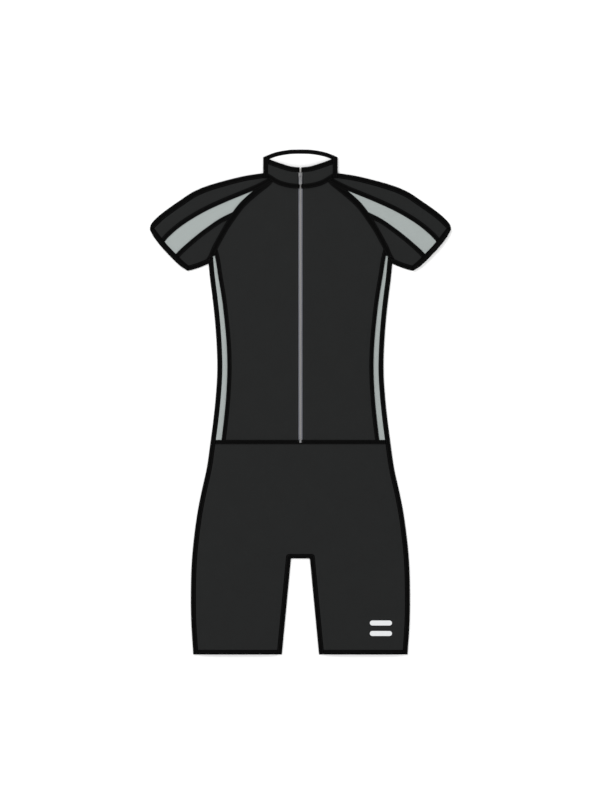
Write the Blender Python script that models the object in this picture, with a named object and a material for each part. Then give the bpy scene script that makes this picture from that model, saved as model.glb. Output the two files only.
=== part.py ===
"""A short-sleeved unitard with a stand collar, a front zip and short legs, laid flat on its back.

Sizes are in millimetres, and the finished objects are in metres. In plan, `across` runs from the
zip towards the wearer's left and `height` runs up from the leg hems to the collar. In the scene
+X is the wearer's left, +Y runs up to the collar and +Z is up. The origin is on the surface
underneath, half way along the garment.

The back panels rest on the surface and the front panels lie over them. Flat seams close the two
layers round the outside, and tapes cover the seams inside the front layer. Every edge line of one
half is drawn clockwise as seen from above, so its left side is the outer side.
"""

from collections import namedtuple

import bmesh
import bpy
import numpy as np
from mathutils import Vector
from mathutils.geometry import delaunay_2d_cdt

MM = 0.001
GAP = 0.3

# The garment
LENGTH = 1060.0
WAIST = 446.0
CROTCH = 201.6
CROTCH_HALF = 20.0
LEG_GAP_HALF = 39.3
LEG_HALF = 224.8
COLLAR_HALF = 78.0
COLLAR_FOOT = 999.8

# Thicknesses of the cloth
WALL = 1.2
COLLAR_WALL = 1.6
FACING_WALL = 1.0
TAPE_WALL = 1.0
HEM_PROUD = 0.5
EDGE_PROUD = 0.3
EDGE_PROUD_AT_COLLAR = 1.2
REFLECTOR_WALL = 0.5
TAPE_GAP = 0.4

# How far the front layer rises off the back, away from the closed edges and over the collar
PUFF = 2.4
PUFF_RUN = 34.0
PUFF_POWER = 2.2
COLLAR_RISE = 1.7
COLLAR_RISE_FROM = 938.0
COLLAR_RISE_TO = 992.0

# Widths of the seams and bands
EDGE_WIDTH = 10.2
SHOULDER_TIP_WIDTH = 12.0
SHOULDER_WIDENS = (110.0, 250.0)
CROTCH_WIDTH = 9.0
CROTCH_INNER_RADIUS = 6.0
CROTCH_OUTER_RADIUS = 2.0
TAPE_WIDTH = 9.0
SIDE_TAPE_WIDTH = 8.2
WAIST_TAPE_WIDTH = 8.2
RAGLAN_TAPE_WIDTH = 11.0
RAGLAN_TAPE_TOP_WIDTH = 12.4
RAGLAN_WIDENS = (890.0, 925.0)
COLLAR_TAPE_WIDTH = 9.2
CUFF_WIDTH = 11.4
LEG_HEM_WIDTH = 9.0
FRONT_BINDING_WIDTH = 10.2
BACK_BINDING_WIDTH = 8.4
BACK_BINDING_WALL = 2.8
BAND_END = 2.5

# The zip
ZIP_SLOT_HALF = 4.2
ZIP_GARAGE_HALF = 2.1
ZIP_TAPE_REACH = 14.0
ZIP_TAPE_WALL = 0.8
ZIP_TAPE_TOP = 1018.0
ZIP_CHAIN_HALF = 3.1
ZIP_FOOT_HALF = 2.1
ZIP_FOOT_LENGTH = 6.0
ZIP_FOOT_WALL = 1.0
ZIP_STOP_HALF = 1.7
ZIP_STOP_DEEP = 2.0
ZIP_TOP = 1020.5

# The slider and its pull tab
SLIDER_FOOT = 999.5
SLIDER_LENGTH = 12.0
SLIDER_HALF = 3.8
SLIDER_FOOT_HALF = 2.9
SLIDER_DEEP = 2.9
SLIDER_CLEAR = 0.1
SLIDER_WAIST = 0.55
BAIL_HALF = 1.0
BAIL_CLEAR_LONG = 4.0
BAIL_CLEAR_HIGH = 2.4
BAIL_BAR = 1.0
PULL_WALL = 1.4
PULL_HEAD_HALF = 3.2
PULL_NECK_HALF = 2.4
PULL_FOOT_HALF = 3.4
PULL_LENGTH = 19.0
PULL_EYE_HALF = 1.5
PULL_EYE_END = 5.6
PULL_NECK_BELOW_EYE = 3.0
PULL_FOOT_CORNER = (1.2, 3.0)

# Two plain reflective strips near the left hem
REFLECTOR_LEFT = 146.0
REFLECTOR_RIGHT = 192.0
REFLECTOR_WIDTH = 10.0
REFLECTOR_HEIGHTS = {"reflector_lower": 44.0, "reflector_upper": 66.0}

# The section of a closed edge: shares of its width and of its height
EDGE_SIDE_SHARE = 0.5
EDGE_SHOULDER = (0.93, 0.4)
EDGE_FLAT = (0.12, 0.8)

# How finely curves and panels are drawn
STEP = 16.0
FINE_STEP = 9.0
ROUND_STEPS = 6
GRID = 30.0
CLEAR_OF_RAILS = 2.5
REACH = 60.0
ROW_SHARE = 0.866
CLEAR_SHARE = 0.45
SHARP_ANGLE = 0.7
SAME_PLACE = 1e-4

Place = namedtuple("Place", "across height")

# The outline of the wearer's left half
SHOULDER = [
    Place(COLLAR_HALF, 1010.5), Place(118.0, 1004.4), Place(153.0, 996.0), Place(184.0, 987.4),
    Place(208.0, 979.2), Place(226.4, 970.8), Place(251.4, 954.2), Place(276.2, 937.2),
    Place(297.6, 920.6), Place(308.7, 910.0),
]
SHOULDER_TIP = [Place(314.8, 900.8), Place(316.1, 892.6)]
CUFF_TIP = [Place(316.1, 892.6), Place(314.4, 886.0)]
CUFF = [Place(310.3, 879.9), Place(288.8, 852.4), Place(272.8, 835.6), Place(252.8, 816.1),
        Place(243.8, 808.8)]
CUFF_FOOT = [Place(240.2, 806.6), Place(236.6, 806.0)]
UNDERARM = [Place(236.6, 806.0), Place(228.4, 807.6), Place(221.0, 809.8), Place(210.6, 813.2),
            Place(200.3, 817.5), Place(192.6, 820.8)]
BODY_SIDE = [
    Place(192.6, 820.8), Place(190.6, 798.0), Place(184.3, 748.0), Place(179.0, 697.6),
    Place(175.5, 647.0), Place(174.3, 597.0), Place(177.1, 546.0), Place(182.1, 496.0),
    Place(188.6, WAIST), Place(197.2, 387.0), Place(206.7, 345.0), Place(215.1, 303.0),
    Place(221.3, 261.0), Place(227.7, 198.0), Place(229.8, 135.0), Place(229.2, 70.0),
    Place(LEG_HALF, 0.0),
]

# The middle lines of the seams inside the front layer
RAGLAN = [Place(60.0, 999.5), Place(68.0, 990.5), Place(80.0, 981.0), Place(103.0, 962.0),
          Place(121.4, 945.0), Place(140.7, 920.0), Place(157.0, 895.0), Place(171.0, 870.0),
          Place(180.0, 853.0), Place(186.5, 837.5), Place(192.0, 828.0)]
STRIPE_UPPER = [Place(61.0, 998.5), Place(80.0, 988.1), Place(100.0, 978.5), Place(119.7, 970.5),
                Place(161.3, 953.3), Place(198.0, 936.5), Place(228.5, 919.5), Place(254.0, 902.5),
                Place(282.0, 877.9), Place(297.0, 860.5)]
STRIPE_LOWER = [Place(138.0, 925.5), Place(165.5, 912.0), Place(190.7, 895.0),
                Place(213.0, 878.2), Place(233.0, 861.4), Place(251.6, 844.6),
                Place(266.0, 829.0)]
SIDE_STRIPE = [Place(180.0, 855.0), Place(175.0, 836.0), Place(169.0, 798.4),
               Place(160.7, 748.0), Place(154.7, 697.6), Place(150.4, 647.0),
               Place(149.2, 610.0), Place(151.4, 546.4), Place(155.9, 496.0),
               Place(162.7, 440.0)]
COLLAR_SEAM = [Place(0.0, 982.8), Place(21.0, 984.5), Place(46.2, 991.4), Place(63.0, 1001.2),
               Place(COLLAR_HALF, 1011.0)]
COLLAR_TOP_FRONT = [Place(0.0, 1022.3), Place(21.0, 1024.6), Place(33.6, 1028.3),
                    Place(46.2, 1032.4), Place(63.0, 1038.8), Place(COLLAR_HALF, 1046.0)]

# The collar's back edge and the seams of the back layer
COLLAR_TOP_BACK = [Place(0.0, LENGTH), Place(21.0, 1059.5), Place(33.6, 1057.9),
                   Place(54.6, 1053.4), Place(69.0, 1047.9), Place(COLLAR_HALF, 1043.8)]
NECK_BACK = [Place(0.0, 1016.0), Place(40.0, 1014.5), Place(COLLAR_HALF, 1010.0)]
RAGLAN_BACK = [Place(73.0, 1000.5), Place(101.0, 966.0), Place(137.0, 917.0),
               Place(168.0, 866.0), Place(192.0, 828.0)]

Finish = namedtuple("Finish", "colour roughness metallic")

FINISHES = {
    "charcoal_knit": Finish((0.021, 0.022, 0.022), 0.85, 0.0),
    "grey_knit": Finish((0.407, 0.445, 0.434), 0.85, 0.0),
    "black_tape": Finish((0.004, 0.004, 0.004), 0.8, 0.0),
    "white_facing": Finish((0.86, 0.86, 0.86), 0.85, 0.0),
    "zip_tape": Finish((0.117, 0.122, 0.147), 0.8, 0.0),
    "zip_teeth": Finish((0.26, 0.25, 0.24), 0.5, 0.0),
    "slider_metal": Finish((0.3, 0.3, 0.31), 0.35, 0.9),
    "reflective": Finish((0.7, 0.72, 0.73), 0.4, 0.0),
}


# Plan curves
def smooth(places, step=STEP):
    """A curve through the places, as points about one step apart."""
    p = np.array(places, float)
    p = np.vstack([2 * p[0] - p[1], p, 2 * p[-1] - p[-2]])
    drawn = [p[1]]
    for a, b, c, d in zip(p, p[1:], p[2:], p[3:]):
        before, here, after = (np.linalg.norm(v) for v in (b - a, c - b, d - c))
        slope_b = ((b - a) * here / before + (c - b) * before / here) / (before + here)
        slope_c = ((c - b) * after / here + (d - c) * here / after) / (here + after)
        count = max(1, round(here / step))
        for t in np.arange(1, count + 1) / count:
            drawn.append((2 * t**3 - 3 * t**2 + 1) * b + (t**3 - 2 * t**2 + t) * here * slope_b
                         + (3 * t**2 - 2 * t**3) * c + (t**3 - t**2) * here * slope_c)
    return np.array(drawn)


def straight(start, end, step=STEP):
    """A straight line as points about one step apart."""
    start, end = np.array(start, float), np.array(end, float)
    count = max(2, round(np.linalg.norm(end - start) / step) + 1)
    return start + np.linspace(0, 1, count)[:, None] * (end - start)


def moved(line, outwards):
    """The line moved to the left of its own direction, or to its right where that is negative."""
    along = np.gradient(line, axis=0)
    along /= np.linalg.norm(along, axis=1)[:, None]
    return line + outwards * np.stack([-along[:, 1], along[:, 0]], axis=1)


def run_on(line):
    """The line with a straight reach added at both ends."""
    first, last = line[0] - line[1], line[-1] - line[-2]
    return np.vstack([line[0] + REACH * first / np.linalg.norm(first), line,
                      line[-1] + REACH * last / np.linalg.norm(last)])


def crossings(a, b):
    """Every crossing of two lines, as a place along each, counted in segments."""
    p, r = a[:-1, None], np.diff(a, axis=0)[:, None]
    q, s = b[None, :-1], np.diff(b, axis=0)[None]
    turn = r[..., 0] * s[..., 1] - r[..., 1] * s[..., 0]
    turn = np.where(np.abs(turn) < 1e-12, np.nan, turn)
    off = q - p
    t = (off[..., 0] * s[..., 1] - off[..., 1] * s[..., 0]) / turn
    u = (off[..., 0] * r[..., 1] - off[..., 1] * r[..., 0]) / turn
    rows, columns = np.nonzero((t >= 0) & (t <= 1) & (u >= 0) & (u <= 1))
    return [(i + t[i, j], j + u[i, j]) for i, j in zip(rows, columns)]


def at(line, place):
    """The point at a place along the line, counted in segments."""
    i = min(int(place), len(line) - 2)
    return line[i] + (place - i) * (line[i + 1] - line[i])


def stretch(line, start, end):
    """The part of a line between two places along it."""
    inside = line[int(np.floor(start)) + 1:int(np.ceil(end))]
    return np.vstack([at(line, start), inside, at(line, end)])


def cut(line, start=None, end=None):
    """The line from where it crosses one line to where it crosses another, run on to reach them."""
    long = run_on(line)
    first, last = 1.0, len(long) - 2.0
    if start is not None:
        first = min(crossings(long, run_on(start)), key=lambda pair: abs(pair[0] - 1))[0]
    if end is not None:
        last = min(crossings(long, run_on(end)), key=lambda pair: abs(pair[0] - last))[0]
    return stretch(long, first, last)


def corner(a, b):
    """Where the end of line a meets the start of line b, as a place along each."""
    def apart(pair):
        spot = at(a, pair[0])
        return np.linalg.norm(spot - a[-2]) + np.linalg.norm(spot - b[1])
    return min(crossings(a, b), key=apart)


def rounding(a, b, radius):
    """The arc that rounds the corner where one straight line turns left into another."""
    spot = at(run_on(a), corner(run_on(a), run_on(b))[0])
    along, after = (line[-1] - line[0] for line in (a, b))
    start, end = np.arctan2(along[1], along[0]), np.arctan2(after[1], after[0])
    back = radius * np.tan((end - start) / 2) * along / np.linalg.norm(along)
    centre = spot - back + radius * np.array([-np.sin(start), np.cos(start)])
    angles = np.linspace(start, end, ROUND_STEPS) - np.pi / 2
    return centre + radius * np.column_stack([np.cos(angles), np.sin(angles)])


def mitre(a, b, outside):
    """The line across a corner, from where two inner lines meet out to the outline."""
    a, b = run_on(a), run_on(b)
    return straight(at(a, corner(a, b)[0]), outside)


def sides_of(edges):
    """Each edge, run on or cut back to its corners with the edge before and the edge after."""
    edges = [run_on(edge) for edge in edges]
    corners = [corner(a, b) for a, b in zip(edges, edges[1:] + edges[:1])]
    return [stretch(edge, corners[i - 1][1], corners[i][0]) for i, edge in enumerate(edges)]


def region(*edges):
    """The outline of an area, from the lines that follow each other round it."""
    return np.vstack([side[:-1] for side in sides_of(edges)])


def mirrored(line):
    """The line on the other side of the zip, run the other way."""
    return (line * [-1, 1])[::-1]


def region_across(*edges):
    """The outline of an area on both sides of the zip, from its edges on the left of it."""
    middle = straight((0, 0), (0, LENGTH))
    sides = sides_of([middle, *edges])[1:]
    half = np.vstack([*[side[:-1] for side in sides], sides[-1][-1:]])
    return np.vstack([half, mirrored(half)[1:-1]])


def spaced(line, count):
    """The line again, as evenly spaced points."""
    along = np.concatenate([[0], np.cumsum(np.linalg.norm(np.diff(line, axis=0), axis=1))])
    places = np.linspace(0, along[-1], count)
    return np.stack([np.interp(places, along, line[:, k]) for k in range(2)], axis=1)


def matched(inner, outer, step=STEP):
    """Two rails with the same number of evenly spaced points."""
    longest = max(np.linalg.norm(np.diff(line, axis=0), axis=1).sum() for line in (inner, outer))
    count = max(2, round(longest / step) + 1)
    return spaced(inner, count), spaced(outer, count)


# The outside edges, and the same edges one seam in
shoulder_outer = smooth([*SHOULDER, *SHOULDER_TIP])
shoulder_line = smooth(SHOULDER)
shoulder_width = np.interp(shoulder_line[:, 0], SHOULDER_WIDENS, (EDGE_WIDTH, SHOULDER_TIP_WIDTH))
shoulder_inner = moved(shoulder_line, -shoulder_width[:, None])
cuff_outer = smooth([*CUFF_TIP, *CUFF, *CUFF_FOOT])
cuff_inner = moved(smooth(CUFF), -CUFF_WIDTH)
underarm_outer = smooth(UNDERARM)
underarm_inner = moved(underarm_outer, -EDGE_WIDTH)
side_outer = smooth(BODY_SIDE)
side_inner = moved(side_outer, -EDGE_WIDTH)
hem_line = straight((LEG_HALF, 0), (0, 0))
leg_hem_inner = moved(hem_line, -LEG_HEM_WIDTH)
inseam_outer = straight((LEG_GAP_HALF, 0), (CROTCH_HALF, CROTCH))
inseam_inner = moved(inseam_outer, -EDGE_WIDTH)
crotch_outer = straight((CROTCH_HALF, CROTCH), (0, CROTCH))
crotch_inner = moved(crotch_outer, -CROTCH_WIDTH)
collar_side_outer = straight((COLLAR_HALF, COLLAR_FOOT), (COLLAR_HALF, COLLAR_TOP_BACK[-1].height))
collar_side_inner = moved(collar_side_outer, EDGE_WIDTH)
collar_foot = straight((COLLAR_HALF - EDGE_WIDTH, COLLAR_FOOT), (COLLAR_HALF, COLLAR_FOOT))
collar_wall = straight((COLLAR_HALF + GAP, WAIST), (COLLAR_HALF + GAP, LENGTH))

# The mitred corners
tip_mitre = mitre(shoulder_inner, cuff_inner, CUFF_TIP[0])
cuff_mitre = mitre(cuff_inner, underarm_inner, CUFF_FOOT[-1])
armpit_mitre = mitre(underarm_inner, side_inner, BODY_SIDE[0])

# The seams inside the layers
raglan = smooth(RAGLAN)
stripe_upper = smooth(STRIPE_UPPER)
stripe_lower = smooth(STRIPE_LOWER)
side_stripe = smooth(SIDE_STRIPE)
collar_seam = smooth(COLLAR_SEAM, FINE_STEP)
collar_top_front = smooth(COLLAR_TOP_FRONT, FINE_STEP)
collar_top_back = smooth(COLLAR_TOP_BACK, FINE_STEP)
neck_back = smooth(NECK_BACK)
raglan_back = smooth(RAGLAN_BACK)
waist = straight((LEG_HALF, WAIST), (0, WAIST))
zip_slot = straight((ZIP_SLOT_HALF + GAP, WAIST), (ZIP_SLOT_HALF + GAP, ZIP_TOP))
zip_garage = straight((ZIP_GARAGE_HALF, WAIST), (ZIP_GARAGE_HALF, ZIP_TOP))

# The two rails of each closed edge, the inner one first
shoulder_rails = matched(cut(shoulder_inner, collar_wall, tip_mitre),
                         cut(shoulder_outer, collar_wall, tip_mitre), FINE_STEP)
underarm_rails = matched(cut(underarm_inner, cuff_mitre, moved(armpit_mitre, GAP)),
                         cut(underarm_outer, cuff_mitre, moved(armpit_mitre, GAP)), FINE_STEP)
side_rails = matched(cut(side_inner, armpit_mitre, hem_line), cut(side_outer, armpit_mitre, hem_line))
collar_side_rails = matched(cut(collar_side_inner, collar_foot, collar_top_back), collar_side_outer)
inner_round = rounding(inseam_inner, crotch_inner, CROTCH_INNER_RADIUS)
outer_round = rounding(inseam_outer, crotch_outer, CROTCH_OUTER_RADIUS)
leg_rails = matched(cut(straight(inseam_inner[0], inner_round[0]), hem_line),
                    straight(inseam_outer[0], outer_round[0]))
crotch_rails = matched(straight(inner_round[-1], (0, crotch_inner[-1][1])),
                       straight(outer_round[-1], crotch_outer[-1]))
inseam_rails = [np.vstack([leg, turn[1:], crotch[1:]])
                for leg, turn, crotch in zip(leg_rails, (inner_round, outer_round), crotch_rails)]
PINCHED = [shoulder_rails[0], underarm_rails[0], side_rails[0], collar_side_rails[0],
           inseam_rails[0]]


# Heights of the layers
def off_edge(across, height):
    """How far each point of the plan is from the nearest closed edge."""
    spots = np.stack([np.abs(across), height], axis=-1).reshape(-1, 1, 2)
    nearest = np.full(len(spots), np.inf)
    for line in PINCHED:
        start, run = line[None, :-1], np.diff(line, axis=0)[None]
        share = ((spots - start) * run).sum(-1) / (run**2).sum(-1)
        foot = start + np.clip(share, 0, 1)[..., None] * run
        nearest = np.minimum(nearest, np.linalg.norm(spots - foot, axis=-1).min(1))
    return nearest.reshape(np.shape(across))


def collar_rise(height):
    """How much higher the front layer lies where the collar's back is under it."""
    share = np.clip((height - COLLAR_RISE_FROM) / (COLLAR_RISE_TO - COLLAR_RISE_FROM), 0, 1)
    return COLLAR_RISE * share**2 * (3 - 2 * share)


def front_under(across, height):
    """The underside of the front layer."""
    share = np.clip(off_edge(across, height) / PUFF_RUN, 0, 1)
    return WALL + GAP + PUFF * (1 - (1 - share) ** PUFF_POWER) + collar_rise(height)


def above_front(rise):
    """A surface that lies that far over the underside of the front layer."""
    return lambda across, height: front_under(across, height) + rise


def level(z):
    """A flat surface."""
    return lambda across, height: np.full(np.shape(across), float(z))


def edge_top(across, height):
    """The top of the closed edges, a little proud of the panels that they hold."""
    return WALL + GAP + WALL + EDGE_PROUD + EDGE_PROUD_AT_COLLAR * collar_rise(height)


# Solids
def material(name):
    """The finish of that name, made once."""
    made = bpy.data.materials.get(name)
    if made is None:
        finish = FINISHES[name]
        made = bpy.data.materials.new(name)
        made.use_nodes = True
        shader = made.node_tree.nodes["Principled BSDF"]
        shader.inputs["Base Color"].default_value = (*finish.colour, 1)
        shader.inputs["Roughness"].default_value = finish.roughness
        shader.inputs["Metallic"].default_value = finish.metallic
    return made


def add_object(name, points, faces, finish, hinge=(0, 0, 0)):
    """A closed mesh as a named object, with its origin on the hinge if it has one."""
    to_frame = np.array([0, -LENGTH / 2, 0])
    points = (np.array(points, float) - hinge) * MM
    if not any(hinge):
        points += to_frame * MM
    mesh = bpy.data.meshes.new(name)
    mesh.from_pydata(points.tolist(), [], faces)
    form = bmesh.new()
    form.from_mesh(mesh)
    bmesh.ops.recalc_face_normals(form, faces=form.faces)
    form.to_mesh(mesh)
    form.free()
    mesh.shade_smooth()
    mesh.set_sharp_from_angle(angle=SHARP_ANGLE)
    mesh.materials.append(material(finish))
    made = bpy.data.objects.new(name, mesh)
    if any(hinge):
        made.location = (np.array(hinge) + to_frame) * MM
    bpy.context.scene.collection.objects.link(made)
    return made


def from_edges(spots, starts, runs):
    """How far each spot is from the nearest of these edges."""
    share = ((spots[:, None] - starts) * runs).sum(-1) / (runs**2).sum(-1)
    foot = starts + np.clip(share, 0, 1)[..., None] * runs
    return np.linalg.norm(spots[:, None] - foot, axis=-1).min(1)


def inside_of(outline, spots):
    """Which spots are inside an outline."""
    start, end = outline, np.roll(outline, -1, axis=0)
    x, y = spots[:, :1], spots[:, 1:]
    spans = (start[:, 1] > y) != (end[:, 1] > y)
    rise = np.where(end[:, 1] == start[:, 1], np.inf, end[:, 1] - start[:, 1])
    right = x < start[:, 0] + (y - start[:, 1]) / rise * (end[:, 0] - start[:, 0])
    return (spans & right).sum(1) % 2 == 1


def inner_points(outline):
    """The points inside a panel: those under the tapes' edges, and a grid clear of them."""
    runs = np.roll(outline, -1, axis=0) - outline
    under_tapes = TAPE_EDGES[inside_of(outline, TAPE_EDGES)]
    under_tapes = under_tapes[from_edges(under_tapes, outline, runs) > CLEAR_OF_RAILS]
    low, high = outline.min(0), outline.max(0)
    rows = np.arange(low[1], high[1], GRID * ROW_SHARE)
    columns = np.arange(low[0] - GRID, high[0] + GRID, GRID)
    grid = np.array([(x + GRID / 2 * (i % 2), y) for i, y in enumerate(rows) for x in columns])
    grid = grid[inside_of(outline, grid)]
    grid = grid[from_edges(grid, outline, runs) > GRID * CLEAR_SHARE]
    if len(under_tapes) and len(grid):
        away = np.linalg.norm(grid[:, None] - under_tapes, axis=-1).min(1)
        grid = grid[away > GRID * CLEAR_SHARE]
    return np.vstack([under_tapes, grid])


def plate(name, outline, under, over, finish, inner=()):
    """The area inside an outline, from one surface up to another."""
    turns = outline[:, 0] * np.roll(outline[:, 1], -1) - outline[:, 1] * np.roll(outline[:, 0], -1)
    outline = outline if turns.sum() > 0 else outline[::-1]
    spots = [Vector(p) for p in (*outline, *inner)]
    plan, _, triangles, *_ = delaunay_2d_cdt(spots, [], [list(range(len(outline)))], 1, SAME_PLACE)
    plan = np.array(plan)
    count = len(plan)
    high = over(plan[:, 0], plan[:, 1])
    low = under(plan[:, 0], plan[:, 1])
    points = np.vstack([np.column_stack([plan, high]), np.column_stack([plan, low])])
    faces = [list(t) for t in triangles] + [[i + count for i in reversed(t)] for t in triangles]
    sides = {(a, b) for t in triangles for a, b in zip(t, [*t[1:], t[0]])}
    rim = sorted(side for side in sides if side[::-1] not in sides)
    faces += [[b, a, a + count, b + count] for a, b in rim]
    return add_object(name, points, faces, finish)


def panel(name, outline, under, over, finish):
    """A cloth panel that follows the front layer's rise."""
    return plate(name, outline, under, over, finish, inner_points(outline))


def band(name, rails, section, finish):
    """A band between two rails. Its section is a loop of shares across it and surfaces."""
    inner, outer = rails
    rings = []
    for share, surface in section:
        plan = inner + share * (outer - inner)
        rings.append(np.column_stack([plan, surface(plan[:, 0], plan[:, 1])]))
    points = np.stack(rings, axis=1).reshape(-1, 3)
    around = len(section)
    faces = [list(range(around)), list(range(len(points) - 1, len(points) - 1 - around, -1))]
    for i in range(len(inner) - 1):
        for j in range(around):
            k = (j + 1) % around
            faces.append([i * around + j, i * around + k, (i + 1) * around + k,
                          (i + 1) * around + j])
    return add_object(name, points, faces, finish)


def flat_ring(name, rails, finish):
    """A hem round a flat opening: its front and its back, joined at both ends."""
    loops = []
    for rail in rails:
        length = np.linalg.norm(np.diff(rail, axis=0), axis=1).sum()
        share = BAND_END / length * (len(rail) - 1)
        within = spaced(stretch(rail, share, len(rail) - 1 - share), len(rail))
        top = front_under(within[:, 0], within[:, 1])
        inside = np.vstack([np.column_stack([within, top]),
                            np.column_stack([within, np.full(len(within), WALL)])[::-1]])
        top = front_under(rail[:, 0], rail[:, 1]) + WALL + HEM_PROUD
        outside = np.vstack([np.column_stack([rail, top]),
                             np.column_stack([rail, np.zeros(len(rail))])[::-1]])
        loops.append((inside, outside))
    (a, b), (d, c) = loops
    points = np.stack([a, b, c, d], axis=1).reshape(-1, 3)
    stations = len(a)
    faces = []
    for i in range(stations):
        here, after = 4 * i, 4 * ((i + 1) % stations)
        for j in range(4):
            k = (j + 1) % 4
            faces.append([here + j, here + k, after + k, after + j])
    return add_object(name, points, faces, finish)


def pair(build, name, shape, *rest):
    """The same piece on the wearer's left and, mirrored, on the right."""
    build(f"{name}_left", shape, *rest)
    if isinstance(shape, tuple):
        build(f"{name}_right", tuple(mirrored(rail) for rail in shape), *rest)
    else:
        build(f"{name}_right", mirrored(shape), *rest)


# The tapes' outlines come first, because the panels under them have points at the same places
tape_half, collar_half = TAPE_WIDTH / 2, COLLAR_TAPE_WIDTH / 2
side_half, waist_half = SIDE_TAPE_WIDTH / 2, WAIST_TAPE_WIDTH / 2
raglan_half = np.interp(raglan[:, 1], RAGLAN_WIDENS, (RAGLAN_TAPE_WIDTH, RAGLAN_TAPE_TOP_WIDTH))
raglan_half = raglan_half[:, None] / 2
collar_end = moved(collar_side_inner, GAP)[::-1]
below_collar_tape = moved(collar_seam, -collar_half - GAP)
collar_tape = region(zip_garage, moved(collar_seam, collar_half), collar_end,
                     moved(collar_seam, -collar_half)[::-1])
stripe_upper_tape = region(below_collar_tape, moved(stripe_upper, tape_half),
                           moved(cuff_inner, -GAP), moved(stripe_upper, -tape_half)[::-1])
raglan_tape = region(below_collar_tape, moved(stripe_upper, -tape_half - GAP),
                     moved(raglan, raglan_half), moved(underarm_inner, -GAP),
                     moved(raglan, -raglan_half)[::-1])
stripe_lower_tape = region(moved(raglan, raglan_half + GAP)[::-1],
                           moved(stripe_lower, tape_half), moved(cuff_inner, -GAP),
                           moved(stripe_lower, -tape_half)[::-1])
side_tape = region(moved(raglan, -raglan_half - GAP), moved(side_stripe, side_half),
                   moved(waist, -waist_half - GAP), moved(side_stripe, -side_half)[::-1])
waist_tape = region_across(moved(waist, -waist_half)[::-1], moved(side_inner, -GAP),
                           moved(waist, waist_half))
TAPES = {"collar_tape": collar_tape, "stripe_upper_tape": stripe_upper_tape,
         "raglan_tape": raglan_tape, "stripe_lower_tape": stripe_lower_tape,
         "side_tape": side_tape}
TAPE_EDGES = np.vstack([*TAPES.values(), *map(mirrored, TAPES.values()), waist_tape])


def front_panels():
    """The panels that show from the front, edge to edge along the seams' middle lines."""
    seam = GAP / 2
    under, over = above_front(0), above_front(WALL)
    side, underarm = moved(side_inner, -GAP), moved(underarm_inner, -GAP)
    shoulder, cuff = moved(shoulder_inner, -GAP), moved(cuff_inner, -GAP)
    above_waist, below_collar = moved(waist, -seam), moved(collar_seam, -seam)
    charcoal, grey = "charcoal_knit", "grey_knit"
    body = region(zip_slot, below_collar, moved(raglan, -seam), moved(side_stripe, -seam), above_waist)
    pair(panel, "body_front", body, under, over, charcoal)
    stripe = region(moved(side_stripe, seam)[::-1], moved(raglan, -seam), underarm, side, above_waist)
    pair(panel, "side_stripe", stripe, under, over, grey)
    top = region(moved(stripe_upper, seam)[::-1], below_collar, moved(collar_foot, -GAP), shoulder, cuff)
    pair(panel, "sleeve_top", top, under, over, charcoal)
    middle = region(moved(raglan, seam)[::-1], moved(stripe_upper, -seam), cuff,
                    moved(stripe_lower, seam)[::-1])
    pair(panel, "sleeve_stripe", middle, under, over, grey)
    bottom = region(moved(raglan, seam)[::-1], moved(stripe_lower, -seam), cuff, underarm)
    pair(panel, "sleeve_under", bottom, under, over, charcoal)
    panel("shorts_front", shorts_outline(), under, over, charcoal)
    collar = region(zip_slot, moved(collar_top_front, -FRONT_BINDING_WIDTH - GAP), collar_end,
                    moved(collar_seam, seam)[::-1])
    pair(panel, "collar_front", collar, under, above_front(COLLAR_WALL), charcoal)


def shorts_outline():
    """The shorts' panel, the same in front and at the back."""
    return region_across(moved(waist, GAP / 2)[::-1], moved(side_inner, -GAP),
                         moved(leg_hem_inner, -GAP), moved(inseam_rails[0], -GAP))


def back_panels():
    """The panels that rest on the surface, and the pale facing inside the collar."""
    seam = GAP / 2
    low, high = level(0), level(WALL)
    underarm, foot = moved(underarm_inner, -GAP), moved(collar_foot, -GAP)
    charcoal = "charcoal_knit"
    back = region_across(moved(neck_back, -seam), collar_end, foot, moved(raglan_back, -seam),
                         underarm, moved(side_inner, -GAP), moved(waist, -seam))
    plate("body_back", back, low, high, charcoal)
    sleeve = region(moved(raglan_back, seam)[::-1], foot, moved(shoulder_inner, -GAP),
                    moved(cuff_inner, -GAP), underarm)
    pair(plate, "sleeve_back", sleeve, low, high, charcoal)
    plate("shorts_back", shorts_outline(), low, high, charcoal)
    collar = region_across(moved(collar_top_back, -BACK_BINDING_WIDTH - GAP), collar_end,
                           moved(neck_back, seam)[::-1])
    plate("collar_back", collar, low, high, charcoal)
    plate("collar_facing", collar, level(WALL + GAP), level(WALL + GAP + FACING_WALL), "white_facing")


def closed_edges():
    """The seams that join front and back round the outside, rounded over on their outer side."""
    shoulder, drop = EDGE_SHOULDER
    section = [(0, level(0)), (1, level(0)), (1, lambda x, y: edge_top(x, y) * EDGE_SIDE_SHARE),
               (shoulder, lambda x, y: edge_top(x, y) - drop), (EDGE_FLAT[1], edge_top),
               (EDGE_FLAT[0], edge_top), (0, lambda x, y: edge_top(x, y) - EDGE_PROUD)]
    for name, rails in {"shoulder_seam": shoulder_rails, "underarm_seam": underarm_rails,
                        "side_seam": side_rails, "collar_side": collar_side_rails}.items():
        pair(band, name, rails, section, "black_tape")
    inseam = tuple(np.vstack([half, mirrored(half)[1:]]) for half in inseam_rails)
    band("inseam", inseam, section, "black_tape")


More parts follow.
